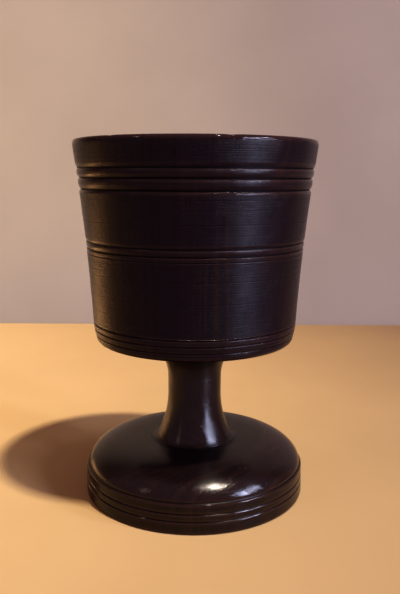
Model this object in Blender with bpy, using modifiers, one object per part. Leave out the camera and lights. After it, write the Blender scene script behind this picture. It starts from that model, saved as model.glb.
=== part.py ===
"""Communion chalice: a turned hardwood cup, stem and domed foot, joined by round tenons.

Metres, +Z up. The origin is the middle of the ring that the foot stands on.
Every turned piece is an outline of (radius, height) points, screwed round the Z axis.
"""

import math

import bmesh
import bpy

MM = 0.001

# ---- Driving dimensions: the whole ----
HEIGHT = 140.0 * MM
GLUE_GAP = 0.3 * MM  # between pieces that touch

# ---- Driving dimensions: cup ----
CUP_BASE_Z = 62.1 * MM
WALL_BASE_R = 40.0 * MM  # the wall's line where it would meet the cup's base
WALL_LIP_R = 47.3 * MM  # the wall's line at the lip
WALL_BOW = 1.06 * MM  # how far the wall bows in from a straight cone
TUCK_Z = 70.0 * MM  # below this height the wall draws in towards its base
TUCK = 1.5 * MM
BASE_CORNER_R = 2.4 * MM
LIP_EDGE_R = 1.2 * MM
LIP_INNER_EDGE_R = 0.9 * MM
LIP_THICKNESS = 3.9 * MM
WALL_THICKENING = 1.5 * MM  # extra thickness where the inside wall meets the bottom's curve
INSIDE_FLOOR_Z = 75.5 * MM
INSIDE_CORNER_Z = 90.0 * MM  # where the bottom's curve starts
INSIDE_TURNS_DEG = (20, 40, 56, 68, 78, 90)  # round the bottom's curve, closer together where it tightens
INSIDE_WALL_HEIGHTS = (104.0 * MM, 121.0 * MM)

# ---- Driving dimensions: stem ----
WAIST_R = 10.75 * MM
UPPER_COVE_R = 16.0 * MM
UPPER_COVE_Z = 46.7 * MM
UPPER_COVE_TOP_Z = 60.6 * MM
LOWER_COVE_R = 34.5 * MM
LOWER_COVE_Z = 39.5 * MM
TENON_R = 8.0 * MM
UPPER_TENON_LENGTH = 9.0 * MM

# ---- Driving dimensions: foot ----
SEAT_Z = 20.9 * MM  # where the stem's shoulder sits
SEAT_R = 16.6 * MM
DOME_R = 43.4 * MM
DOME_BASE_Z = 12.2 * MM
DOME_ACROSS_POWER = 5.7  # the dome is a superellipse: flat on top, then quickly round
DOME_UP_POWER = 1.6
DOME_SHARES = (0.45, 0.6, 0.72, 0.81, 0.88, 0.93, 0.965, 0.988, 1.0)  # of its radius
SIDE_TOP_R = 44.15 * MM
SIDE_BASE_R = 44.45 * MM
SIDE_TOP_Z = 10.9 * MM
CROWN_IN = 0.2 * MM  # the chamfer on the side's upper edge: how far in, and how far up and down
CROWN_HALF_HEIGHT = 0.3 * MM
FOOT_EDGE_R = 0.8 * MM
RING_INNER_R = 35.5 * MM
RECESS_DEPTH = 2.8 * MM
RECESS_COVE_R = 5.0 * MM

# ---- Driving dimensions: wedge in the lower tenon ----
WEDGE_LENGTH = 12.5 * MM
WEDGE_THICK_END = 2.4 * MM
WEDGE_THIN_END = 0.9 * MM
WEDGE_WIDTH = 15.4 * MM
KERF_OVERRUN = 1.0 * MM  # how far the kerf's cutter reaches below the stem
KERF_WIDTH = 3 * TENON_R

# ---- Cut lines: height where each starts, is deepest and ends, and its depth ----
CUP_CUTS = (
    (131.1 * MM, 129.6 * MM, 128.0 * MM, 0.60 * MM),
    (127.6 * MM, 125.9 * MM, 124.8 * MM, 0.85 * MM),
    (123.9 * MM, 121.7 * MM, 120.7 * MM, 0.80 * MM),
    (102.6 * MM, 102.1 * MM, 101.6 * MM, 0.22 * MM),
    (101.0 * MM, 99.3 * MM, 98.7 * MM, 0.50 * MM),
    (98.0 * MM, 97.6 * MM, 97.2 * MM, 0.15 * MM),
    (70.7 * MM, 70.1 * MM, 69.5 * MM, 0.35 * MM),
    (68.4 * MM, 67.8 * MM, 67.2 * MM, 0.38 * MM),
    (65.9 * MM, 65.3 * MM, 64.7 * MM, 0.38 * MM),
)
FOOT_CUTS = (
    (8.3 * MM, 7.6 * MM, 7.0 * MM, 0.42 * MM),
    (5.4 * MM, 4.75 * MM, 4.2 * MM, 0.42 * MM),
)
TOP_CUT_FLOOR = (43.15 * MM, 11.75 * MM)  # the cut between the foot's dome and its side
BEAD_POWER = 2.0  # the upper side of a cut rounds over like the bead above it
BEAD_TURN = 0.6  # how far down that side its one extra point is

# ---- Roundness ----
CUP_STEPS = 64
STEM_STEPS = 48
PLAIN_WALL_STEP = 9.0 * MM  # spacing of the wall's points where no line is cut
EDGE_POINTS = 3  # chords in a rounded edge
INNER_EDGE_POINTS = 2
UPPER_COVE_POINTS = 7
LOWER_COVE_POINTS = 6

# ---- Colours: one dark, oiled timber, and a paler offcut for the wedge ----
DARK_TIMBER = (0.022, 0.012, 0.009)
PALE_TIMBER = (0.110, 0.052, 0.024)
BOWL_ROUGHNESS = 0.38
STEM_ROUGHNESS = 0.26
FOOT_ROUGHNESS = 0.28
WEDGE_ROUGHNESS = 0.6


def arc(centre_r, centre_z, radius, start_deg, end_deg, count):
    """Points along an arc, with its two ends. 0 degrees points outwards and 90 up."""
    points = []
    for i in range(count + 1):
        angle = math.radians(start_deg + (end_deg - start_deg) * i / count)
        points.append((centre_r + radius * math.cos(angle), centre_z + radius * math.sin(angle)))
    return points


def cut_depth(z, cuts):
    """How deep the cut lines are at this height."""
    for top, floor, end, depth in cuts:
        if floor <= z <= top:
            return depth * ((top - z) / (top - floor)) ** BEAD_POWER
        if end <= z < floor:
            return depth * (z - end) / (floor - end)
    return 0.0


def cut_heights(cuts):
    """The heights at which a cut's outline turns, with one on the rounded side."""
    heights = []
    for top, floor, end, _ in cuts:
        heights += [top, top - BEAD_TURN * (top - floor), floor, end]
    return heights


def wall_radius(z):
    """The cup's outside, before its lines are cut."""
    up = (z - CUP_BASE_Z) / (HEIGHT - CUP_BASE_Z)
    radius = WALL_BASE_R + (WALL_LIP_R - WALL_BASE_R) * up - 4 * WALL_BOW * up * (1 - up)
    if z < TUCK_Z:
        radius -= TUCK * ((TUCK_Z - z) / (TUCK_Z - CUP_BASE_Z)) ** 2
    return radius


def inside_radius(z):
    """The cup's inside wall, above the curve of its bottom."""
    down = (HEIGHT - z) / (HEIGHT - INSIDE_CORNER_Z)
    return wall_radius(z) - LIP_THICKNESS - WALL_THICKENING * down


def cup_inside():
    """From the middle of the floor out, and up to the lip."""
    corner_r = inside_radius(INSIDE_CORNER_Z)
    bowl_height = INSIDE_CORNER_Z - INSIDE_FLOOR_Z
    outline = [(0.0, INSIDE_FLOOR_Z)]
    for angle in INSIDE_TURNS_DEG:
        turn = math.radians(angle)
        # A squashed quarter round: flat over most of the floor, then up into the wall.
        r = corner_r * math.sin(turn)
        z = INSIDE_CORNER_Z - bowl_height * math.cos(turn)
        outline.append((r, z))
    for z in INSIDE_WALL_HEIGHTS:
        outline.append((inside_radius(z), z))
    edge_z = HEIGHT - LIP_INNER_EDGE_R
    edge_r = inside_radius(edge_z) + LIP_INNER_EDGE_R
    return outline + arc(edge_r, edge_z, LIP_INNER_EDGE_R, 180, 90, INNER_EDGE_POINTS)


def cup_wall():
    """The outside, from the lip's outer edge down to the base's corner."""
    edge_z = HEIGHT - LIP_EDGE_R
    corner_z = CUP_BASE_Z + BASE_CORNER_R
    heights = set(cut_heights(CUP_CUTS))
    steps = int((edge_z - corner_z) / PLAIN_WALL_STEP)
    for i in range(1, steps + 1):
        z = edge_z - (edge_z - corner_z) * i / (steps + 1)
        if cut_depth(z, CUP_CUTS) == 0.0:
            heights.add(z)
    outline = arc(wall_radius(edge_z) - LIP_EDGE_R, edge_z, LIP_EDGE_R, 90, 0, EDGE_POINTS)
    outline += [(wall_radius(z) - cut_depth(z, CUP_CUTS), z) for z in sorted(heights, reverse=True)]
    outline += arc(wall_radius(corner_z) - BASE_CORNER_R, corner_z, BASE_CORNER_R, 0, -90, EDGE_POINTS)
    return outline


def cup_outline():
    socket_r = TENON_R + GLUE_GAP
    socket_top = CUP_BASE_Z + UPPER_TENON_LENGTH
    socket = [(socket_r, CUP_BASE_Z), (socket_r, socket_top), (0.0, socket_top)]
    return cup_inside() + cup_wall() + socket


def stem_outline():
    tenon_top = CUP_BASE_Z + UPPER_TENON_LENGTH - GLUE_GAP
    shoulder_z = CUP_BASE_Z - GLUE_GAP
    seat_z = SEAT_Z + GLUE_GAP
    upper_turn = math.degrees(math.asin((UPPER_COVE_TOP_Z - UPPER_COVE_Z) / UPPER_COVE_R))
    lower_turn = math.degrees(math.asin((LOWER_COVE_Z - seat_z) / LOWER_COVE_R))
    upper_r, lower_r = WAIST_R + UPPER_COVE_R, WAIST_R + LOWER_COVE_R
    upper = arc(upper_r, UPPER_COVE_Z, UPPER_COVE_R, 180 - upper_turn, 180, UPPER_COVE_POINTS)
    lower = arc(lower_r, LOWER_COVE_Z, LOWER_COVE_R, 180, 180 + lower_turn, LOWER_COVE_POINTS)
    outline = [(0.0, tenon_top), (TENON_R, tenon_top), (TENON_R, shoulder_z)]
    outline += [(upper[0][0], shoulder_z)] + upper + lower
    outline += [(TENON_R, seat_z), (TENON_R, RECESS_DEPTH), (0.0, RECESS_DEPTH)]
    return outline


def dome_z(r):
    across = (r / DOME_R) ** DOME_ACROSS_POWER
    return DOME_BASE_Z + (SEAT_Z - DOME_BASE_Z) * (1 - across) ** (1 / DOME_UP_POWER)


def side_radius(z):
    """The foot's side, which widens a little towards the table."""
    return SIDE_BASE_R + (SIDE_TOP_R - SIDE_BASE_R) * z / SIDE_TOP_Z


def foot_outline():
    """From the top of the tenon's hole, out over the dome, down the side and back underneath."""
    hole_r = TENON_R + GLUE_GAP
    outline = [(hole_r, SEAT_Z), (SEAT_R, SEAT_Z)]
    for share in DOME_SHARES:
        outline.append((DOME_R * share, dome_z(DOME_R * share)))
    outline += [TOP_CUT_FLOOR, (SIDE_TOP_R - CROWN_IN, SIDE_TOP_Z + CROWN_HALF_HEIGHT)]
    outline.append((SIDE_TOP_R, SIDE_TOP_Z - CROWN_HALF_HEIGHT))
    heights = sorted(cut_heights(FOOT_CUTS), reverse=True)
    outline += [(side_radius(z) - cut_depth(z, FOOT_CUTS), z) for z in heights]
    outline += arc(side_radius(FOOT_EDGE_R) - FOOT_EDGE_R, FOOT_EDGE_R, FOOT_EDGE_R, 0, -90, EDGE_POINTS)
    cove_z = RECESS_DEPTH - RECESS_COVE_R
    cove_start = math.asin(-cove_z / RECESS_COVE_R)
    cove_r = RING_INNER_R - RECESS_COVE_R * math.cos(cove_start)
    outline += arc(cove_r, cove_z, RECESS_COVE_R, math.degrees(cove_start), 90, EDGE_POINTS)
    outline.append((hole_r, RECESS_DEPTH))
    return outline


def timber(name, colour, roughness):
    material = bpy.data.materials.new(name)
    material.use_nodes = True
    shader = material.node_tree.nodes["Principled BSDF"]
    shader.inputs["Base Color"].default_value = (*colour, 1.0)
    shader.inputs["Roughness"].default_value = roughness
    shader.inputs["Metallic"].default_value = 0.0
    return material


def new_collection(name, hidden=False):
    collection = bpy.data.collections.new(name)
    collection.hide_render = hidden
    bpy.context.scene.collection.children.link(collection)
    return collection


def turned(name, outline, closed, steps, material, collection):
    """A piece turned on the Z axis. A closed outline leaves a hole through its middle."""
    edges = [(i, i + 1) for i in range(len(outline) - 1)]
    if closed:
        edges.append((len(outline) - 1, 0))
    mesh = bpy.data.meshes.new(name)
    mesh.from_pydata([(r, 0.0, z) for r, z in outline], edges, [])
    piece = bpy.data.objects.new(name, mesh)
    mesh.materials.append(material)
    collection.objects.link(piece)
    screw = piece.modifiers.new("turn", "SCREW")
    screw.axis = "Z"
    screw.angle = 2 * math.pi
    screw.steps = steps
    screw.render_steps = steps
    screw.use_merge_vertices = True
    screw.merge_threshold = 0.01 * MM
    screw.use_smooth_shade = True
    return piece


def tapered_bar(name, low_z, length, low_thickness, top_thickness, width, collection):
    """A bar that is thinner at its top, across X, and as wide as stated along Y."""
    mesh = bpy.data.meshes.new(name)
    shape = bmesh.new()
    bmesh.ops.create_cube(shape, size=1.0)
    for corner in shape.verts:
        thickness = top_thickness if corner.co.z > 0 else low_thickness
        height = low_z + length if corner.co.z > 0 else low_z
        corner.co = (corner.co.x * thickness, corner.co.y * width, height)
    shape.to_mesh(mesh)
    shape.free()
    bar = bpy.data.objects.new(name, mesh)
    collection.objects.link(bar)
    return bar


def build_wedge(collection):
    wedge = tapered_bar(
        "foot_wedge", RECESS_DEPTH, WEDGE_LENGTH, WEDGE_THICK_END, WEDGE_THIN_END, WEDGE_WIDTH, collection
    )
    wedge.data.materials.append(timber("wedge_timber", PALE_TIMBER, WEDGE_ROUGHNESS))
    return wedge


def cut_kerf(stem, collection):
    """The saw kerf that the wedge fills: the wedge's own taper, a gap wider and right across."""
    taper = (WEDGE_THICK_END - WEDGE_THIN_END) / WEDGE_LENGTH
    length = KERF_OVERRUN + WEDGE_LENGTH + GLUE_GAP
    low_thickness = WEDGE_THICK_END + taper * KERF_OVERRUN + 2 * GLUE_GAP
    top_thickness = low_thickness - taper * length
    low_z = RECESS_DEPTH - KERF_OVERRUN
    kerf = tapered_bar("kerf_cutter", low_z, length, low_thickness, top_thickness, KERF_WIDTH, collection)
    kerf.hide_render = True
    kerf.display_type = "WIRE"
    cut = stem.modifiers.new("kerf", "BOOLEAN")
    cut.operation = "DIFFERENCE"
    cut.solver = "EXACT"
    cut.object = kerf


def main():
    for old in list(bpy.data.objects):
        bpy.data.objects.remove(old, do_unlink=True)
    chalice = new_collection("communion_chalice")
    cutters = new_collection("cutters", hidden=True)
    bowl_timber = timber("bowl_timber", DARK_TIMBER, BOWL_ROUGHNESS)
    stem_timber = timber("stem_timber", DARK_TIMBER, STEM_ROUGHNESS)
    foot_timber = timber("foot_timber", DARK_TIMBER, FOOT_ROUGHNESS)
    turned("bowl", cup_outline(), False, CUP_STEPS, bowl_timber, chalice)
    stem = turned("stem", stem_outline(), False, STEM_STEPS, stem_timber, chalice)
    turned("foot", foot_outline(), True, CUP_STEPS, foot_timber, chalice)
    build_wedge(chalice)
    cut_kerf(stem, cutters)


main()
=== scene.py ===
"""Communion chalice, the looks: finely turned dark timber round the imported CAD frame.

Metres, +Z up. Every turned piece is an outline of (radius, height) points carried round the Z axis,
with tool marks, dents and wear pressed into it, and a procedural timber material.
"""

import math

import bmesh
import bpy
import numpy as np
from mathutils import Euler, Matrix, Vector


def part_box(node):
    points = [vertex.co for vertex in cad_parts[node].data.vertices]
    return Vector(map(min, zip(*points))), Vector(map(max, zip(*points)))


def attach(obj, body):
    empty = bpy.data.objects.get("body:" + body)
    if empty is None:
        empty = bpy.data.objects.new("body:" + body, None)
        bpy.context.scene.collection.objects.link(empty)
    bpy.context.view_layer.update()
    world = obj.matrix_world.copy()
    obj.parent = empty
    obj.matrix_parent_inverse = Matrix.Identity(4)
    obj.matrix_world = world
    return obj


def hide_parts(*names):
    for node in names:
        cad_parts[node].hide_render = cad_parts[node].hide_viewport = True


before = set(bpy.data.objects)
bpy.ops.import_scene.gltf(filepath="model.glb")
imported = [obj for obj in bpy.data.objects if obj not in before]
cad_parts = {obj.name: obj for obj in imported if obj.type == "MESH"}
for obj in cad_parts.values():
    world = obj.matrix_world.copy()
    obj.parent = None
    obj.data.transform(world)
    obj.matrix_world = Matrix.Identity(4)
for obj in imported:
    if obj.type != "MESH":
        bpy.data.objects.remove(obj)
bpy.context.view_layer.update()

MM = 0.001

# ---- Heights and radii taken from the frame ----
BOWL_LOW, BOWL_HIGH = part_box("bowl")
STEM_LOW, STEM_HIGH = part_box("stem")
WEDGE_LOW, WEDGE_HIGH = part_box("foot_wedge")
HEIGHT = BOWL_HIGH.z
CUP_BASE_Z = BOWL_LOW.z
SEAT_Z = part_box("foot")[1].z  # the top of the foot, where the stem's shoulder sits
RECESS_DEPTH = STEM_LOW.z  # the lower tenon ends level with the hollow under the foot
TENON_TOP_Z = STEM_HIGH.z

# ---- The cup's wall, as the CAD has it ----
WALL_BASE_R = 40.0 * MM
WALL_LIP_R = 47.3 * MM
WALL_BOW = 1.06 * MM
TUCK_Z = 70.0 * MM
TUCK = 1.5 * MM
BASE_CORNER_R = 2.4 * MM
LIP_EDGE_R = 1.2 * MM
LIP_ROUND_Z = 136.6 * MM  # above this height use has rounded the wall in a little
LIP_ROUND = 0.32 * MM
LIP_INNER_EDGE_R = 0.9 * MM
LIP_LOW = 138.0 * MM  # drinking polishes the timber above this height
LIP_FADE = 1.0 * MM
LIP_THICKNESS = 3.9 * MM
WALL_THICKENING = 1.5 * MM
INSIDE_FLOOR_Z = 75.5 * MM
INSIDE_CORNER_Z = 90.0 * MM  # where the bottom's curve starts
INSIDE_POINTS = 34  # on the inside wall, and again on the bottom's curve

# ---- The stem's coves and its tenons ----
WAIST_R = 10.75 * MM
UPPER_COVE_R = 16.0 * MM
UPPER_COVE_Z = 46.7 * MM
UPPER_COVE_TOP_Z = 60.6 * MM
LOWER_COVE_R = 34.5 * MM
LOWER_COVE_Z = 39.5 * MM
TOE_COVE_R = 3.2 * MM  # the tighter cove that spreads the stem on to the foot
TOE_SEAM_DEG = 58  # how far round that cove the stem ends and the foot takes over
TOE_END_DEG = 87
TENON_R = 8.0 * MM
SEAM = 0.03 * MM  # the line left open where two pieces meet

# ---- The foot ----
DOME_R = 43.4 * MM
DOME_BASE_Z = 12.2 * MM
DOME_ACROSS_POWER = 5.7  # the dome is a superellipse: flat on top, then quickly round
DOME_UP_POWER = 1.6
DOME_START_R = 19.5 * MM
DOME_SAMPLES = 4000  # how closely the dome is followed to find its evenly spaced points
DOME_STEP = 0.33 * MM
SIDE_TOP_R = 44.15 * MM
SIDE_BASE_R = 44.45 * MM
SIDE_TOP_Z = 11.2 * MM
FOOT_EDGE_R = 0.8 * MM
TOP_CUT_FLOOR = (43.2 * MM, 11.8 * MM)  # the cut between the foot's dome and its side
CROWN_R = 0.6 * MM  # the rounded upper edge of the foot's side
RING_INNER_R = 35.5 * MM
RECESS_COVE_R = 5.0 * MM

# ---- The wedge, and the kerf that it fills ----
WEDGE_TOP_THICKNESS = 0.9 * MM
WEDGE_EASE = 0.1 * MM  # how much narrower it is than the CAD's
WEDGE_EDGE = 0.18 * MM
WEDGE_CUTS = 22  # how finely its faces are divided, to carry the saw's marks
WEDGE_LONG_EDGE = 1.2 * MM  # edges longer than this are divided
SAW_MARK = 0.42 * MM
SAW_WANDER = 0.4
SAW_WANDER_LENGTH = 1.7 * MM
SAW_DEPTH = 0.02  # of the thickness
KERF_OVERRUN = 1.0 * MM  # how far the kerf's cutter reaches below the stem
KERF_WIDTH = 3 * TENON_R

# ---- Cut lines: where each starts, is deepest and ends, its depth, and how round its upper side is ----
CUP_CUTS = (
    (131.1 * MM, 129.3 * MM, 127.8 * MM, 0.64 * MM, 1.6),
    (127.5 * MM, 125.8 * MM, 124.35 * MM, 0.88 * MM, 2.0),
    (123.8 * MM, 121.6 * MM, 120.3 * MM, 0.84 * MM, 2.0),
    (103.1 * MM, 101.95 * MM, 100.95 * MM, 0.42 * MM, 1.3),
    (100.9 * MM, 99.3 * MM, 99.0 * MM, 0.44 * MM, 2.0),
    (97.9 * MM, 97.6 * MM, 97.3 * MM, 0.15 * MM, 1.2),
    (70.6 * MM, 70.1 * MM, 69.6 * MM, 0.38 * MM, 1.2),
    (68.3 * MM, 67.8 * MM, 67.3 * MM, 0.42 * MM, 1.2),
    (65.8 * MM, 65.3 * MM, 64.8 * MM, 0.42 * MM, 1.2),
)
HAIRLINES = (  # height and depth, in mm
    (135.4, 0.02), (133.1, 0.025), (118.6, 0.03), (115.2, 0.03), (110.4, 0.05), (106.6, 0.025),
    (95.7, 0.03), (93.1, 0.02), (90.7, 0.05), (86.9, 0.03), (83.0, 0.035), (79.6, 0.02), (76.9, 0.03),
    (73.4, 0.02),
)
HAIRLINE_HALF_WIDTH = 0.2 * MM
FOOT_CUTS = (
    (8.4 * MM, 7.6 * MM, 7.0 * MM, 0.45 * MM, 1.6),
    (5.5 * MM, 4.75 * MM, 4.15 * MM, 0.45 * MM, 1.6),
)

# ---- Roundness and surface finish of the fine meshes ----
CUP_STEPS = 192
FOOT_STEPS = 240
STEM_STEPS = 160
PLAIN_STEP = 0.55 * MM  # spacing along an outline where it is plain
FINE_STEP = 0.18 * MM  # spacing in and beside a cut line
SCAN_STEP = 0.02 * MM  # how closely a wall is followed to find its evenly spaced points
COVE_STEP = 0.30 * MM
HIDDEN_STEP = 1.6 * MM  # spacing where little shows, such as in a socket
SAME_POINT = 0.02 * MM  # two points closer than this become one
RIPPLE = 0.010 * MM  # height of the gouge's marks
RIPPLE_PITCH = 1.3 * MM
RIPPLE_START_R = 5.0 * MM  # the marks fade out from here to the axis
RIPPLE_ROUND = 0.25  # how much they vary round the piece
WAVE = 0.030 * MM  # slow unevenness of a wall turned by hand
WAVE_PITCH = 9.0 * MM
OVAL = 0.0005  # timber dries slightly oval
EDGE_BLUR = 0.45 * MM  # an outline is compared with itself, blurred this far, to find its edges
EDGE_RISE = 0.05 * MM  # how far an edge stands out before it is fully worn

# ---- Dents: height, angle round from +X in degrees, width and depth ----
BOWL_DENTS = (
    (139.6 * MM, -75, 1.1 * MM, 0.22 * MM),
    (139.9 * MM, -128, 0.8 * MM, 0.15 * MM),
    (139.8 * MM, 40, 1.4 * MM, 0.18 * MM),
    (113.0 * MM, -112, 1.2 * MM, 0.06 * MM),
    (88.0 * MM, -52, 1.6 * MM, 0.07 * MM),
)
FOOT_DENTS = (
    (16.5 * MM, -125, 1.1 * MM, 0.07 * MM),
    (15.0 * MM, -60, 0.9 * MM, 0.06 * MM),
    (1.2 * MM, -100, 0.9 * MM, 0.15 * MM),
    (11.6 * MM, 20, 0.8 * MM, 0.12 * MM),
    (0.9 * MM, 150, 1.2 * MM, 0.18 * MM),
)

# ---- Random seeds ----
BOWL_SEED, STEM_SEED, FOOT_SEED = 3, 21, 8

# ---- Camera, at the photograph's viewing angle ----
CAMERA_PLACE = (2.05 * MM, -269.4 * MM, 126.4 * MM)
CAMERA_DOWN_DEG = 10.01
CAMERA_ROLL_DEG = 0.31
CAMERA_LENS = 41.3
CAMERA_NEAR = 0.01
SENSOR = 36.0

# ---- Stage ----
# The whole floor lights the object behind FLOOR_SPLIT_Y. In front of that, so does the floor beside the
# foot and to its left, as far as NEAR_RIGHT_X and NEAR_FRONT_Y.
FLOOR_HALF = 3.0
FLOOR_SPLIT_Y = 0.05
NEAR_RIGHT_X = 0.10
NEAR_FRONT_Y = -0.08
FLOOR_BACK_Y = 0.31
BACKDROP_Y = 0.46
BACKDROP_LOW = -0.6
BACKDROP_HIGH = 2.2
FLOOR_COLOUR = (0.48, 0.335, 0.170)
FLOOR_ROUGHNESS = 0.85
BACKDROP_COLOUR = (0.46, 0.405, 0.305)
BACKDROP_ROUGHNESS = 0.9
STAGE_SPECULAR = 0.15
STAGE_CLOUDS = 9.0  # patches of unevenness to the metre
STAGE_DARKER = 0.94  # the shade of the darker patches

# ---- Lights ----
LAMPLIGHT = (1, 0.90, 0.755)
DAYLIGHT = (0.68, 0.735, 1.0)
TABLE_GLOW = (1, 0.56, 0.26)
LEFT_GLOW = (1, 0.85, 0.6)
LAMP_TARGET = (-0.42, 0.15, 0)  # the lamp points past the object, so the right of the floor is dimmer
CUP_MIDDLE = (0, 0, 0.085)
ROOM_LIGHT = (1.0, 0.66, 0.77, 1)
ROOM_STRENGTH = 0.37
ROOM_SEEN = (0.37, 0.27, 0.225, 1)


# ================= Outlines: (radius, height) points =================


def arc(centre_r, centre_z, radius, start_deg, end_deg, step=FINE_STEP):
    """Points along an arc, with its two ends. 0 degrees points outwards and 90 up."""
    length = abs(math.radians(end_deg - start_deg)) * radius
    angles = np.radians(np.linspace(start_deg, end_deg, max(4, int(length / step)) + 1))
    return [(centre_r + radius * math.cos(a), centre_z + radius * math.sin(a)) for a in angles]


def run(start, end, step=PLAIN_STEP):
    """Points inside a straight run, without its two ends."""
    count = max(1, round(math.dist(start, end) / step))
    shares = [i / count for i in range(1, count)]
    return [(start[0] + (end[0] - start[0]) * s, start[1] + (end[1] - start[1]) * s) for s in shares]


def join(stretches, step=PLAIN_STEP):
    """One outline from lists of points, with straight runs between one list and the next."""
    outline = list(stretches[0])
    for stretch in stretches[1:]:
        if math.dist(outline[-1], stretch[0]) > SAME_POINT:
            outline += run(outline[-1], stretch[0], step)
            outline += stretch
        else:
            outline += stretch[1:]
    return outline


def cut_depth(z, cuts):
    """How deep the cut lines are at this height: each rounds in from above, and below it is a ledge
    with a quarter-round edge."""
    for top, floor, end, depth, power in cuts:
        if floor <= z <= top:
            return depth * ((top - z) / (top - floor)) ** power
        if end <= z < floor:
            up = (z - end) / (floor - end)
            return depth * (1 - math.sqrt(1 - up * up))
    return 0.0


def wall_points(high, low, radius, cuts):
    """Points down a turned wall between two heights, evenly spaced along it, and closer together in
    and beside its cuts."""
    beside = 2 * FINE_STEP
    corners = {z for cut in cuts for z in cut[:3]}
    heights = sorted(corners | set(np.arange(low, high, SCAN_STEP)), reverse=True)
    points = [(radius(high), high)]
    for z in heights:
        point = (radius(z) - cut_depth(z, cuts), z)
        near = any(end - beside <= z <= top + beside for top, _, end, _, _ in cuts)
        if z in corners or math.dist(points[-1], point) >= (FINE_STEP if near else PLAIN_STEP):
            points.append(point)
    return points[1:]


def hairlines():
    """Faint lines scored by the gouge between the cut lines."""
    half = HAIRLINE_HALF_WIDTH
    return tuple((z * MM + half, z * MM, z * MM - 2 * half, depth * MM, 1.0) for z, depth in HAIRLINES)


def wall_radius(z):
    """The cup's outside, before its lines are cut."""
    up = (z - CUP_BASE_Z) / (HEIGHT - CUP_BASE_Z)
    radius = WALL_BASE_R + (WALL_LIP_R - WALL_BASE_R) * up - 4 * WALL_BOW * up * (1 - up)
    if z < TUCK_Z:
        radius -= TUCK * ((TUCK_Z - z) / (TUCK_Z - CUP_BASE_Z)) ** 2
    if z > LIP_ROUND_Z:
        radius -= LIP_ROUND * ((z - LIP_ROUND_Z) / (HEIGHT - LIP_ROUND_Z)) ** 2
    return radius


def inside_radius(z):
    """The cup's inside wall, above the curve of its bottom."""
    down = (HEIGHT - z) / (HEIGHT - INSIDE_CORNER_Z)
    return wall_radius(z) - LIP_THICKNESS - WALL_THICKENING * down


def cup_bottom():
    """The inside's bottom, from its middle out: a squashed quarter round."""
    corner_r = inside_radius(INSIDE_CORNER_Z)
    depth = INSIDE_CORNER_Z - INSIDE_FLOOR_Z
    turns = np.radians(np.linspace(0, 90, INSIDE_POINTS))
    return [(corner_r * math.sin(t), INSIDE_CORNER_Z - depth * math.cos(t)) for t in turns]


def cup_outline():
    """Bottom, inside wall, lip, outside wall, base, and the blind socket for the stem's tenon."""
    inner_z = HEIGHT - LIP_INNER_EDGE_R
    edge_z = HEIGHT - LIP_EDGE_R
    corner_z = CUP_BASE_Z + BASE_CORNER_R
    socket_r = TENON_R + 2 * SEAM
    socket_top = TENON_TOP_Z + 2 * SEAM
    rise = np.linspace(INSIDE_CORNER_Z, inner_z, INSIDE_POINTS)[1:-1]
    inner_r = inside_radius(inner_z) + LIP_INNER_EDGE_R
    cuts = CUP_CUTS + hairlines()
    outside = join([
        cup_bottom() + [(inside_radius(z), z) for z in rise],
        arc(inner_r, inner_z, LIP_INNER_EDGE_R, 180, 90),
        arc(wall_radius(edge_z) - LIP_EDGE_R, edge_z, LIP_EDGE_R, 90, 0),
        wall_points(edge_z, corner_z, wall_radius, cuts),
        arc(wall_radius(corner_z) - BASE_CORNER_R, corner_z, BASE_CORNER_R, 0, -90),
        [(socket_r, CUP_BASE_Z)],
    ])
    socket = join([[outside[-1]], [(socket_r, socket_top)], [(0.0, socket_top)]], HIDDEN_STEP)
    return outside, socket[1:]


def toe_cove():
    """Where the lower cove gives way to the toe's, in degrees, and the centre of the toe's circle. That
    circle touches the foot's seat."""
    sine = (LOWER_COVE_Z - SEAT_Z - TOE_COVE_R) / (LOWER_COVE_R - TOE_COVE_R)
    start = math.asin(sine)
    centre_r = WAIST_R + LOWER_COVE_R - (LOWER_COVE_R - TOE_COVE_R) * math.cos(start)
    return math.degrees(start), centre_r, SEAT_Z + TOE_COVE_R


def stem_outline():
    """The upper tenon, the coves that show, and the lower tenon."""
    upper_turn = math.degrees(math.asin((UPPER_COVE_TOP_Z - UPPER_COVE_Z) / UPPER_COVE_R))
    upper = arc(WAIST_R + UPPER_COVE_R, UPPER_COVE_Z, UPPER_COVE_R, 180 - upper_turn, 180, COVE_STEP)
    toe_start, toe_r, toe_z = toe_cove()
    lower = arc(WAIST_R + LOWER_COVE_R, LOWER_COVE_Z, LOWER_COVE_R, 180, 180 + toe_start, COVE_STEP)
    toe = arc(toe_r, toe_z, TOE_COVE_R, 180 + toe_start, 180 + TOE_SEAM_DEG)
    shoulder = (upper[0][0], CUP_BASE_Z - SEAM)
    above = [[(0.0, TENON_TOP_Z)], [(TENON_R, TENON_TOP_Z)], [(TENON_R, shoulder[1])], [shoulder]]
    seat_z = SEAT_Z + SEAM
    end_z = RECESS_DEPTH
    below = [[toe[-1]], [(toe[-1][0], seat_z)], [(TENON_R, seat_z)], [(TENON_R, end_z)], [(0.0, end_z)]]
    shown = join([[shoulder], upper, lower, toe])
    return join(above, HIDDEN_STEP)[:-1], shown, join(below, HIDDEN_STEP)[1:]


def dome_z(r):
    """The height of the foot's dome."""
    across = (r / DOME_R) ** DOME_ACROSS_POWER
    return DOME_BASE_Z + (SEAT_Z - DOME_BASE_Z) * (1 - across) ** (1 / DOME_UP_POWER)


def dome():
    """The foot's top from the stem out, its points evenly spaced along the curve."""
    radii = DOME_START_R + (DOME_R - DOME_START_R) * (1 - np.linspace(1, 0, DOME_SAMPLES) ** 3)
    heights = np.array([dome_z(r) for r in radii])
    length = np.concatenate([[0], np.cumsum(np.hypot(np.diff(radii), np.diff(heights)))])
    even = np.linspace(0, length[-1], int(length[-1] / DOME_STEP))
    return list(zip(np.interp(even, length, radii), np.interp(even, length, heights)))


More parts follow.
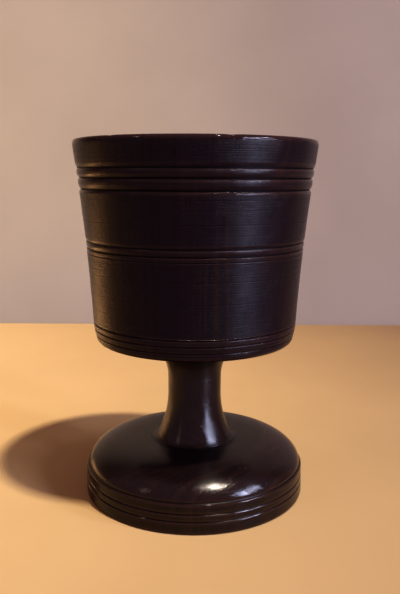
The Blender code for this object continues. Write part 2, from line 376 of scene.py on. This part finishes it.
def side_radius(z):
    """The foot's side, which widens a little towards the table."""
    return SIDE_BASE_R + (SIDE_TOP_R - SIDE_BASE_R) * z / SIDE_TOP_Z


def foot_outline():
    """The stem's seat, the top and side that show, the ring and hollow underneath, and the tenon's hole."""
    hole_r = TENON_R + 2 * SEAM
    crown_z = SIDE_TOP_Z - CROWN_R / 2
    _, toe_r, toe_z = toe_cove()
    toe = arc(toe_r + SEAM, toe_z, TOE_COVE_R, 180 + TOE_SEAM_DEG, 180 + TOE_END_DEG)
    seat = join([[(hole_r, SEAT_Z)], [(toe[0][0], SEAT_Z)]], HIDDEN_STEP)
    shown = join([
        toe,
        dome(),
        [TOP_CUT_FLOOR],
        arc(side_radius(crown_z) - CROWN_R, crown_z, CROWN_R, 90, 0),
        wall_points(crown_z, FOOT_EDGE_R, side_radius, FOOT_CUTS),
        arc(side_radius(FOOT_EDGE_R) - FOOT_EDGE_R, FOOT_EDGE_R, FOOT_EDGE_R, 0, -90),
    ])
    cove_z = RECESS_DEPTH - RECESS_COVE_R
    cove_start = math.asin(-cove_z / RECESS_COVE_R)
    cove_r = RING_INNER_R - RECESS_COVE_R * math.cos(cove_start)
    under = join([
        [shown[-1]],
        arc(cove_r, cove_z, RECESS_COVE_R, math.degrees(cove_start), 90, COVE_STEP),
        [(hole_r, RECESS_DEPTH)],
    ])
    hole = run((hole_r, RECESS_DEPTH), (hole_r, SEAT_Z), HIDDEN_STEP)
    return seat, shown, under[1:], hole


# ================= Meshes =================


def smooth_noise(length, pitch, seed):
    """Evenly random values, smoothly joined, for each distance along an outline."""
    rng = np.random.default_rng(seed)
    knots = np.arange(0, length[-1] + 3 * pitch, pitch)
    values = rng.uniform(-1, 1, len(knots))
    place = length / pitch
    low = place.astype(int)
    share = place - low
    share = share * share * (3 - 2 * share)
    return values[low] * (1 - share) + values[low + 1] * share


def outline_facts(outline):
    """For each point of an outline: the way out of the timber, the distance along, and how far it
    stands proud of the outline round it."""
    points = np.array(outline)
    ahead = np.gradient(points, axis=0)
    ahead /= np.linalg.norm(ahead, axis=1, keepdims=True)
    outward = np.stack([-ahead[:, 1], ahead[:, 0]], 1)
    length = np.concatenate([[0], np.cumsum(np.linalg.norm(np.diff(points, axis=0), axis=1))])
    step = np.gradient(length)
    near = np.exp(-0.5 * ((length[:, None] - length[None, :]) / EDGE_BLUR) ** 2) * step[None, :]
    blurred = near @ points / near.sum(1, keepdims=True)
    proud = ((points - blurred) * outward).sum(1)
    return points, outward, length, proud


def turned(name, stretches, shown, closed, steps, seed, dents=()):
    """A piece turned on the Z axis from stretches of outline. The stretches numbered in shown are
    finished; the others are left bare. Dents are (height, angle in degrees, width, depth)."""
    outline = [p for stretch in stretches for p in stretch]
    finished = np.concatenate([np.full(len(s), float(i in shown)) for i, s in enumerate(stretches)])
    points, outward, length, proud = outline_facts(outline)
    ripple = RIPPLE * smooth_noise(length, RIPPLE_PITCH, seed)
    ripple += WAVE * smooth_noise(length, WAVE_PITCH, seed + 1)
    ripple *= finished * np.clip(points[:, 0] / RIPPLE_START_R, 0, 1)
    angles = np.linspace(0, 2 * math.pi, steps, endpoint=False)
    lift = ripple[:, None] * (1 + RIPPLE_ROUND * np.cos(angles[None, :] - seed))
    for height, degrees, width, depth in dents:
        round_it = np.angle(np.exp(1j * (angles - math.radians(degrees))))
        across = points[:, 0][:, None] * round_it[None, :]
        up = np.where(finished > 0, points[:, 1] - height, 1.0)[:, None]
        lift = lift - depth * np.exp(-(across**2 + up**2) / (2 * width**2))
    oval = 1 + OVAL * finished[:, None] * np.cos(2 * angles[None, :] + seed)
    radius = (points[:, 0][:, None] + outward[:, 0][:, None] * lift) * oval
    height = np.maximum(points[:, 1][:, None] + outward[:, 1][:, None] * lift, 0)
    grid = np.stack([radius * np.cos(angles), radius * np.sin(angles), height], 2)
    hidden = length[finished == 0]
    from_hidden = np.abs(length[:, None] - hidden[None, :]).min(1)
    reached = np.clip(from_hidden / (2 * EDGE_BLUR) - 1, 0, 1)
    facts = {
        "along": length / MM,
        "lip": np.clip((points[:, 1] - LIP_LOW) / LIP_FADE, 0, 1) * finished,
        "wear": np.clip(proud / EDGE_RISE, 0, 1) * reached,
        # How far each point sits below the outline round it: the material paints shade into these hollows
        # and roughens them.
        "sunken": np.clip(-proud / EDGE_RISE, 0, 1),
        "bare": 1 - finished,
    }
    return lathe_mesh(name, grid, facts, closed)


def lathe_mesh(name, grid, facts, closed):
    """A mesh from rings of points. An open one starts and ends with a single point on the axis."""
    rings, steps, _ = grid.shape
    first = 0 if closed else 1
    last = rings if closed else rings - 1
    vertices = grid[first:last].reshape(-1, 3)
    count = last - first
    number = np.arange(count * steps).reshape(count, steps)
    after = np.roll(number, -1, axis=1)
    low, low_after = np.roll(number, -1, axis=0), np.roll(after, -1, axis=0)
    faces = np.stack([number, low, low_after, after], 2)
    faces = (faces if closed else faces[:-1]).reshape(-1, 4).tolist()
    values = {key: np.repeat(fact[first:last], steps) for key, fact in facts.items()}
    if not closed:
        top, bottom = count * steps, count * steps + 1
        vertices = np.concatenate([vertices, grid[:1, 0], grid[-1:, 0]])
        faces += [(top, a, b) for a, b in zip(number[0].tolist(), after[0].tolist())]
        faces += [(a, bottom, b) for a, b in zip(number[-1].tolist(), after[-1].tolist())]
        values = {key: np.concatenate([v, facts[key][[0, -1]]]) for key, v in values.items()}
    mesh = bpy.data.meshes.new(name)
    mesh.from_pydata(vertices.tolist(), [], faces)
    for key, value in values.items():
        mesh.attributes.new(key, "FLOAT", "POINT").data.foreach_set("value", value.astype(np.float32))
    mesh.shade_smooth()
    piece = bpy.data.objects.new(name, mesh)
    bpy.context.scene.collection.objects.link(piece)
    return piece


def apply_modifiers(piece):
    """The piece's mesh, as its modifiers leave it, without the modifiers."""
    seen = bpy.context.evaluated_depsgraph_get()
    mesh = bpy.data.meshes.new_from_object(piece.evaluated_get(seen))
    piece.modifiers.clear()
    old, piece.data = piece.data, mesh
    bpy.data.meshes.remove(old)


def tapered_bar(name, low_z, length, low_thickness, top_thickness, width):
    """A bar that is thinner at its top, across X."""
    mesh = bpy.data.meshes.new(name)
    shape = bmesh.new()
    bmesh.ops.create_cube(shape, size=1.0)
    for corner in shape.verts:
        thickness = top_thickness if corner.co.z > 0 else low_thickness
        height = low_z + length if corner.co.z > 0 else low_z
        corner.co = (corner.co.x * thickness, corner.co.y * width, height)
    shape.to_mesh(mesh)
    shape.free()
    bar = bpy.data.objects.new(name, mesh)
    bpy.context.scene.collection.objects.link(bar)
    return bar


def build_wedge():
    """The hardwood wedge driven up the lower tenon: sawn sides, with edges a little rounded."""
    size = WEDGE_HIGH - WEDGE_LOW
    thickness, width = size.x - WEDGE_EASE, size.y - WEDGE_EASE
    piece = tapered_bar("wedge_piece", WEDGE_LOW.z, size.z, thickness, WEDGE_TOP_THICKNESS, width)
    shape = bmesh.new()
    shape.from_mesh(piece.data)
    bmesh.ops.bevel(shape, geom=shape.edges[:], offset=WEDGE_EDGE, segments=2, affect="EDGES")
    long_edges = [e for e in shape.edges if e.calc_length() > WEDGE_LONG_EDGE]
    bmesh.ops.subdivide_edges(shape, edges=long_edges, cuts=WEDGE_CUTS, use_grid_fill=True)
    for corner in shape.verts:
        wander = SAW_WANDER * math.sin(corner.co.y / SAW_WANDER_LENGTH)
        saw = math.sin(corner.co.z / SAW_MARK + wander)
        corner.co.x *= 1 - SAW_DEPTH * (1 + saw)
    shape.to_mesh(piece.data)
    shape.free()
    piece.data.shade_smooth()
    return piece


def build_stem():
    """The stem, with the saw kerf that the wedge fills."""
    stem = turned("stem_piece", stem_outline(), (1,), False, STEM_STEPS, STEM_SEED)
    size = WEDGE_HIGH - WEDGE_LOW
    taper = (size.x - WEDGE_TOP_THICKNESS) / size.z
    low_z = WEDGE_LOW.z - KERF_OVERRUN
    length = KERF_OVERRUN + size.z + 2 * SEAM
    low_thickness = size.x + taper * KERF_OVERRUN + 2 * SEAM
    kerf = tapered_bar("kerf", low_z, length, low_thickness, low_thickness - taper * length, KERF_WIDTH)
    cut = stem.modifiers.new("kerf", "BOOLEAN")
    cut.operation = "DIFFERENCE"
    cut.solver = "EXACT"
    cut.object = kerf
    apply_modifiers(stem)
    bpy.data.objects.remove(kerf, do_unlink=True)
    return stem


# ================= Materials =================

# How many cells of noise there are to the metre.
RING_WANDER_SCALE = 45.0
RING_SCALE = 520.0
PORE_SCALE = 1900.0
FIBRE_SCALE = 2600.0
MOTTLE_SCALE = 75.0
SMUDGE_SCALE = 90.0
BREAK_SCALE = 120.0
SCRATCH_PATCH_SCALE = 110.0
SCRATCH_CELLS = (1500, 90, 500)
SCRATCH_TURNS = ((0.0, 0.0, 0.5), (0.3, 0.1, 1.9), (-0.2, 0.4, 2.8))
LINE_SCALE = 2.6  # turning lines to the millimetre of outline

# How much noise is drawn out along the grain, which runs up the Z axis.
RING_GRAIN = (1, 1, 0.25)
PORE_GRAIN = (1, 1, 0.05)
FIBRE_GRAIN = (1, 1, 0.04)
MOTTLE_GRAIN = (1, 1, 0.45)

# Which values of a noise turn into its pattern: none below the first, all above the second.
RING_BAND = (0.36, 0.66)
PORE_BAND = (0.62, 0.72)
MOTTLE_BAND = (0.34, 0.68)
BREAK_BAND = (0.35, 0.65)
SCRATCH_BAND = (0.10, 0.05)
SCRATCH_PATCH_BAND = (0.52, 0.62)

# How strongly each shows in the colour, the roughness and the relief.
RING_WANDER = 6 * MM
MOTTLE_TONE = 0.75
FIBRE_TONE = 0.5
PORE_TONE = 0.7
# The tone below is painted shade, darkening the hollows of the cut lines.
PAINTED_SHADE_TONE = 0.8
FAINTEST_LINES = 0.3
LINE_ROUGHNESS = 0.15
SUNKEN_ROUGHNESS = 0.25
SCRATCH_ROUGHNESS = 0.2
BARE_ROUGHNESS = 0.3
PORE_DEPTH = 0.25
SCRATCH_DEPTH = 0.4
LIP_LINES_LOST = 0.8


def add(tree, kind, inputs=None, **settings):
    """A new node. An input is a value, or the socket that feeds it."""
    made = tree.nodes.new("ShaderNode" + kind)
    for name, value in settings.items():
        setattr(made, name, value)
    for name, value in (inputs or {}).items():
        if isinstance(value, bpy.types.NodeSocket):
            tree.links.new(value, made.inputs[name])
        else:
            made.inputs[name].default_value = value
    return made


def maths(tree, operation, a, b=0.0, c=0.0, clamp=False):
    return add(tree, "Math", {0: a, 1: b, 2: c}, operation=operation, use_clamp=clamp).outputs[0]


def plus(tree, start, value, amount):
    """Start plus this amount of value."""
    return maths(tree, "ADD", start, maths(tree, "MULTIPLY", value, amount))


def between(tree, value, low, high, to_low=0.0, to_high=1.0):
    """Value carried smoothly from low..high to to_low..to_high, and held there outside."""
    inputs = {"Value": value, "From Min": low, "From Max": high, "To Min": to_low, "To Max": to_high}
    return add(tree, "MapRange", inputs, interpolation_type="SMOOTHSTEP").outputs[0]


def mixed(tree, share, a, b):
    """Colour a, with this share of colour b."""
    return add(tree, "Mix", {0: share, 6: a, 7: b}, data_type="RGBA").outputs[2]


def noise(tree, vector, scale, detail=2.0, roughness=0.5):
    inputs = {"Vector": vector, "Scale": scale, "Detail": detail, "Roughness": roughness}
    return add(tree, "TexNoise", inputs).outputs[0]


def noise_along(tree, distance, scale, detail=2.0, roughness=0.5):
    inputs = {"W": distance, "Scale": scale, "Detail": detail, "Roughness": roughness}
    return add(tree, "TexNoise", inputs, noise_dimensions="1D").outputs[0]


def stretched(tree, vector, scale, turn=(0.0, 0.0, 0.0)):
    return add(tree, "Mapping", {"Vector": vector, "Scale": scale, "Rotation": turn}).outputs[0]


def fact(tree, name):
    """What the mesh says about its surface at each point."""
    return add(tree, "Attribute", attribute_name=name).outputs["Fac"]


def growth_rings(tree, place, pith):
    """Bands round a pith that lies off the turning axis, wandering a little."""
    wander = noise(tree, stretched(tree, place, RING_GRAIN), RING_WANDER_SCALE)
    flat = add(tree, "VectorMath", {0: place, 1: (1, 1, 0)}, operation="MULTIPLY").outputs[0]
    away = add(tree, "VectorMath", {0: flat, 1: pith}, operation="DISTANCE").outputs["Value"]
    distance = plus(tree, away, wander, RING_WANDER)
    return between(tree, noise_along(tree, distance, RING_SCALE, 3.0, 0.6), *RING_BAND)


def pores(tree, place):
    """Short dark vessels that run with the grain, along Z."""
    vessels = noise(tree, stretched(tree, place, PORE_GRAIN), PORE_SCALE, detail=1.0)
    return between(tree, vessels, *PORE_BAND)


def scratches(tree, place, amount):
    """Short strokes in three directions, scattered by a broad noise."""
    total = 0.0
    for turn in SCRATCH_TURNS:
        cells = stretched(tree, place, SCRATCH_CELLS, turn)
        near = add(tree, "TexVoronoi", {"Vector": cells, "Scale": 1.0}).outputs["Distance"]
        stroke = between(tree, near, *SCRATCH_BAND)
        total = maths(tree, "ADD", stroke, total)
    patchy = between(tree, noise(tree, place, SCRATCH_PATCH_SCALE), *SCRATCH_PATCH_BAND)
    return maths(tree, "MULTIPLY", maths(tree, "MULTIPLY", total, patchy), amount)


def timber(name, look):
    """Very dark close-grained hardwood, turned and waxed."""
    material = bpy.data.materials.new(name)
    material.use_nodes = True
    tree = material.node_tree
    shader = tree.nodes["Principled BSDF"]
    place = add(tree, "TexCoord").outputs["Object"]
    along, wear, sunken = fact(tree, "along"), fact(tree, "wear"), fact(tree, "sunken")
    bare, lip = fact(tree, "bare"), fact(tree, "lip")

    rings = growth_rings(tree, place, look["pith"])
    fibres = noise(tree, stretched(tree, place, FIBRE_GRAIN), FIBRE_SCALE, roughness=0.6)
    mottle = noise(tree, stretched(tree, place, MOTTLE_GRAIN), MOTTLE_SCALE, 3.0, 0.55)
    vessels = pores(tree, place)
    strokes = scratches(tree, place, look["scratches"])
    broken = between(tree, noise(tree, place, BREAK_SCALE, 3.0), *BREAK_BAND, to_low=FAINTEST_LINES)
    fine_lines = noise_along(tree, along, LINE_SCALE, 4.0, 0.75)
    lines = maths(tree, "MULTIPLY", maths(tree, "SUBTRACT", fine_lines, 0.5), broken)

    # Colour: rings and fibres, then pores, painted shade in the cuts, worn edges, scratches and bare
    # timber.
    patchy = between(tree, mottle, *MOTTLE_BAND)
    patchy = maths(tree, "MULTIPLY_ADD", patchy, MOTTLE_TONE, 1 - MOTTLE_TONE)
    warmth = maths(tree, "MULTIPLY", rings, patchy)
    fibre_tone = maths(tree, "MULTIPLY", maths(tree, "SUBTRACT", fibres, 0.5), FIBRE_TONE)
    warmth = maths(tree, "ADD", warmth, fibre_tone, clamp=True)
    colour = mixed(tree, warmth, look["deep"], look["warm"])
    colour = mixed(tree, maths(tree, "MULTIPLY", vessels, PORE_TONE), colour, look["pore"])
    # Painted shade: hollows such as the cut lines are darkened towards the pore colour.
    colour = mixed(tree, maths(tree, "MULTIPLY", sunken, PAINTED_SHADE_TONE), colour, look["pore"])
    colour = mixed(tree, maths(tree, "MULTIPLY", wear, look["wear"]), colour, look["worn"])
    colour = mixed(tree, strokes, colour, look["worn"])
    colour = mixed(tree, bare, colour, look["bare"])

    # Roughness: handling leaves smudges, and polishes the edges and the lip.
    smudge = maths(tree, "SUBTRACT", noise(tree, place, SMUDGE_SCALE, 3.0, 0.6), 0.5)
    rough = maths(tree, "MULTIPLY_ADD", smudge, look["smudge"], look["roughness"])
    rough = plus(tree, rough, lines, LINE_ROUGHNESS)
    rough = plus(tree, rough, sunken, SUNKEN_ROUGHNESS)
    rough = plus(tree, rough, wear, look["edge_roughness"])
    rough = plus(tree, rough, lip, -look["lip_polish"])
    rough = plus(tree, rough, strokes, SCRATCH_ROUGHNESS)
    rough = maths(tree, "ADD", rough, maths(tree, "MULTIPLY", bare, BARE_ROUGHNESS), clamp=True)

    # Relief too fine for the mesh: turning lines, which the lip has mostly lost, pores and scratches.
    scored = maths(tree, "MULTIPLY", lines, look["lines"])
    polished = maths(tree, "MULTIPLY", scored, maths(tree, "MULTIPLY", lip, LIP_LINES_LOST))
    scored = maths(tree, "SUBTRACT", scored, polished)
    height = plus(tree, scored, vessels, -PORE_DEPTH)
    height = plus(tree, height, strokes, -SCRATCH_DEPTH)
    bump = add(tree, "Bump", {"Strength": 1.0, "Distance": look["relief"], "Height": height}).outputs[0]

    tree.links.new(colour, shader.inputs["Base Color"])
    tree.links.new(rough, shader.inputs["Roughness"])
    tree.links.new(bump, shader.inputs["Normal"])
    shader.inputs["IOR"].default_value = look["ior"]
    shader.inputs["Anisotropic"].default_value = look["anisotropic"]
    if look["anisotropic"]:
        shader.inputs["Anisotropic Rotation"].default_value = look["brush_turn"]
        tangent = add(tree, "Tangent", direction_type="RADIAL", axis="Z").outputs[0]
        tree.links.new(tangent, shader.inputs["Tangent"])
    return material


DARK = {
    "deep": (0.0118, 0.0068, 0.0108, 1),
    "warm": (0.0225, 0.0112, 0.0115, 1),
    "pore": (0.0050, 0.0032, 0.0032, 1),
    "worn": (0.100, 0.050, 0.030, 1),
    "bare": (0.075, 0.038, 0.023, 1),
    "pith": (0.034, -0.046, 0.0),
    "wear": 0.16,
    "edge_roughness": -0.18,
    "lip_polish": 0.31,
    "scratches": 0.0,
    "smudge": 0.14,
    "lines": 1.0,
    "relief": 0.06 * MM,
    "brush_turn": 0.25,
    "ior": 1.35,
}
BOWL_LOOK = DARK | {
    "deep": (0.0088, 0.0052, 0.0090, 1),
    "warm": (0.0180, 0.0090, 0.0096, 1),
    "roughness": 0.39,
    "anisotropic": 0.82,
    "ior": 1.32,
    "lines": 1.5,
    "scratches": 0.25,
}
STEM_LOOK = DARK | {
    "deep": (0.0140, 0.0072, 0.0070, 1),
    "warm": (0.027, 0.0130, 0.0100, 1),
    "pith": (0.012, 0.020, 0.0),
    "roughness": 0.22,
    "anisotropic": 0.92,
    "ior": 1.5,
}
FOOT_LOOK = DARK | {
    "deep": (0.0095, 0.0054, 0.0062, 1),
    "warm": (0.0175, 0.0088, 0.0078, 1),
    "pith": (-0.038, 0.030, 0.0),
    "roughness": 0.21,
    "anisotropic": 0.85,
    "ior": 1.42,
    "lines": 0.6,
    "scratches": 0.8,
}
WEDGE_LOOK = DARK | {
    "deep": (0.085, 0.038, 0.017, 1),
    "warm": (0.17, 0.085, 0.040, 1),
    "pore": (0.03, 0.014, 0.007, 1),
    "bare": (0.13, 0.06, 0.028, 1),
    "pith": (0.0, -0.09, 0.0),
    "roughness": 0.6,
    "anisotropic": 0.0,
}


# ================= Stage, lights and camera =================


def plain(name, colour, roughness):
    """A pale studio surface, with only a trace of unevenness."""
    material = bpy.data.materials.new(name)
    material.use_nodes = True
    tree = material.node_tree
    place = add(tree, "TexCoord").outputs["Object"]
    cloud = noise(tree, place, STAGE_CLOUDS, 4.0)
    darker = tuple(STAGE_DARKER * c for c in colour)
    shade = mixed(tree, between(tree, cloud, 0.3, 0.7), (*darker, 1), (*colour, 1))
    shader = tree.nodes["Principled BSDF"]
    tree.links.new(shade, shader.inputs["Base Color"])
    shader.inputs["Roughness"].default_value = roughness
    shader.inputs["Specular IOR Level"].default_value = STAGE_SPECULAR
    return material


def sheet(name, rectangles, material):
    """A flat piece of the stage from rectangles: lowest X and Y, highest X and Y."""
    corners, faces = [], []
    for low_x, low_y, high_x, high_y in rectangles:
        start = len(corners)
        corners += [(low_x, low_y, 0), (high_x, low_y, 0), (high_x, high_y, 0), (low_x, high_y, 0)]
        faces.append((start, start + 1, start + 2, start + 3))
    mesh = bpy.data.meshes.new(name)
    mesh.from_pydata(corners, [], faces)
    mesh.materials.append(material)
    made = bpy.data.objects.new(name, mesh)
    bpy.context.scene.collection.objects.link(made)
    return made


def build_stage():
    half, split = FLOOR_HALF, FLOOR_SPLIT_Y
    pale = plain("pale_floor", FLOOR_COLOUR, FLOOR_ROUGHNESS)
    behind = (-half, split, half, FLOOR_BACK_Y)
    beside = (-half, NEAR_FRONT_Y, NEAR_RIGHT_X, split)
    sheet("floor", [behind, beside], pale)
    # The rest, towards the camera and at the right, doesn't light the object, as round a narrow table.
    front = (-half, -half, half, NEAR_FRONT_Y)
    right = (NEAR_RIGHT_X, NEAR_FRONT_Y, half, split)
    unlit = sheet("floor_front", [front, right], pale)
    unlit.visible_glossy = False
    unlit.visible_diffuse = False
    wall = plain("pale_backdrop", BACKDROP_COLOUR, BACKDROP_ROUGHNESS)
    backdrop = sheet("backdrop", [(-half, BACKDROP_LOW, half, BACKDROP_HIGH)], wall)
    backdrop.rotation_euler = (math.radians(90), 0, 0)
    backdrop.location = (0, BACKDROP_Y, 0)


def from_angle(azimuth_deg, elevation_deg, distance, target=(0, 0, 0)):
    """A place seen from the target at this angle. Azimuth 0 is towards the camera, and 90 is +X."""
    azimuth, elevation = math.radians(azimuth_deg), math.radians(elevation_deg)
    level = math.cos(elevation)
    way = Vector((math.sin(azimuth) * level, -math.cos(azimuth) * level, math.sin(elevation)))
    return Vector(target) + way * distance


def soft_light(name, place, target, size, power, colour, spread_deg=180):
    """An area light of this width and height, facing the target."""
    light = bpy.data.lights.new(name, "AREA")
    light.shape = "RECTANGLE"
    light.size, light.size_y = size
    light.energy = power
    light.color = colour
    light.spread = math.radians(spread_deg)
    made = bpy.data.objects.new(name, light)
    made.visible_camera = False
    made.location = place
    made.rotation_euler = (Vector(target) - Vector(place)).to_track_quat("-Z", "Y").to_euler()
    bpy.context.scene.collection.objects.link(made)
    return made


def build_lights():
    """A lamp above, two lights that stand in for a window at the right, and two faint warm ones at the
    left: a distant lamp, and the sunlit table that the cup's lower left reflects."""
    middle = (0, 0, HEIGHT / 2)
    lamp = from_angle(50, 72, 1.6)
    soft_light("lamp", lamp, LAMP_TARGET, (0.075, 0.075), power=2.44, colour=LAMPLIGHT, spread_deg=42)
    window = from_angle(52, 16, 0.9, middle)
    soft_light("window", window, middle, (0.06, 0.34), power=5.2, colour=DAYLIGHT)
    window_side = from_angle(67, 26, 0.9, middle)
    soft_light("window_side", window_side, middle, (0.10, 0.22), power=2.5, colour=DAYLIGHT)
    table = from_angle(-120, -14, 0.3, CUP_MIDDLE)
    soft_light("table_glow", table, CUP_MIDDLE, (0.30, 0.03), power=0.014, colour=TABLE_GLOW, spread_deg=50)
    left = from_angle(-55, 29, 0.9, middle)
    soft_light("left_glow", left, middle, (0.035, 0.11), power=0.16, colour=LEFT_GLOW)


def build_world():
    """Dim warm air for lighting. Where no stage is behind the object, the camera sees a pale tone."""
    world = bpy.data.worlds.new("world")
    world.use_nodes = True
    bpy.context.scene.world = world
    tree = world.node_tree
    tree.nodes.clear()
    dim = add(tree, "Background", {"Color": ROOM_LIGHT, "Strength": ROOM_STRENGTH}).outputs[0]
    pale = add(tree, "Background", {"Color": ROOM_SEEN, "Strength": 1.0}).outputs[0]
    seen = add(tree, "LightPath").outputs["Is Camera Ray"]
    both = add(tree, "MixShader", {0: seen, 1: dim, 2: pale}).outputs[0]
    tree.links.new(both, add(tree, "OutputWorld").inputs["Surface"])


def build_camera():
    lens = bpy.data.cameras.new("camera")
    lens.lens = CAMERA_LENS
    lens.sensor_width = SENSOR
    lens.clip_start = CAMERA_NEAR
    camera = bpy.data.objects.new("camera", lens)
    camera.location = CAMERA_PLACE
    look = Euler((math.radians(90 - CAMERA_DOWN_DEG), 0, 0)).to_matrix()
    roll = Euler((0, 0, math.radians(CAMERA_ROLL_DEG))).to_matrix()
    camera.rotation_euler = (look @ roll).to_euler()
    bpy.context.scene.collection.objects.link(camera)
    bpy.context.scene.camera = camera
    bpy.context.scene.view_settings.view_transform = "Standard"
    bpy.context.scene.view_settings.look = "High Contrast"


def show(piece, node, look, slot):
    """Give a piece its finish, and let it stand for its CAD node."""
    piece.data.materials.clear()
    piece.data.materials.append(timber(slot + "_finish", look))
    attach(piece, "root")
    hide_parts(node)


build_camera()
build_stage()
build_world()
build_lights()
bowl = turned("bowl_piece", cup_outline(), (0,), False, CUP_STEPS, BOWL_SEED, BOWL_DENTS)
show(bowl, "bowl", BOWL_LOOK, "bowl_timber")
show(build_stem(), "stem", STEM_LOOK, "stem_timber")
foot = turned("foot_piece", foot_outline(), (1,), True, FOOT_STEPS, FOOT_SEED, FOOT_DENTS)
show(foot, "foot", FOOT_LOOK, "foot_timber")
show(build_wedge(), "foot_wedge", WEDGE_LOOK, "wedge_timber")
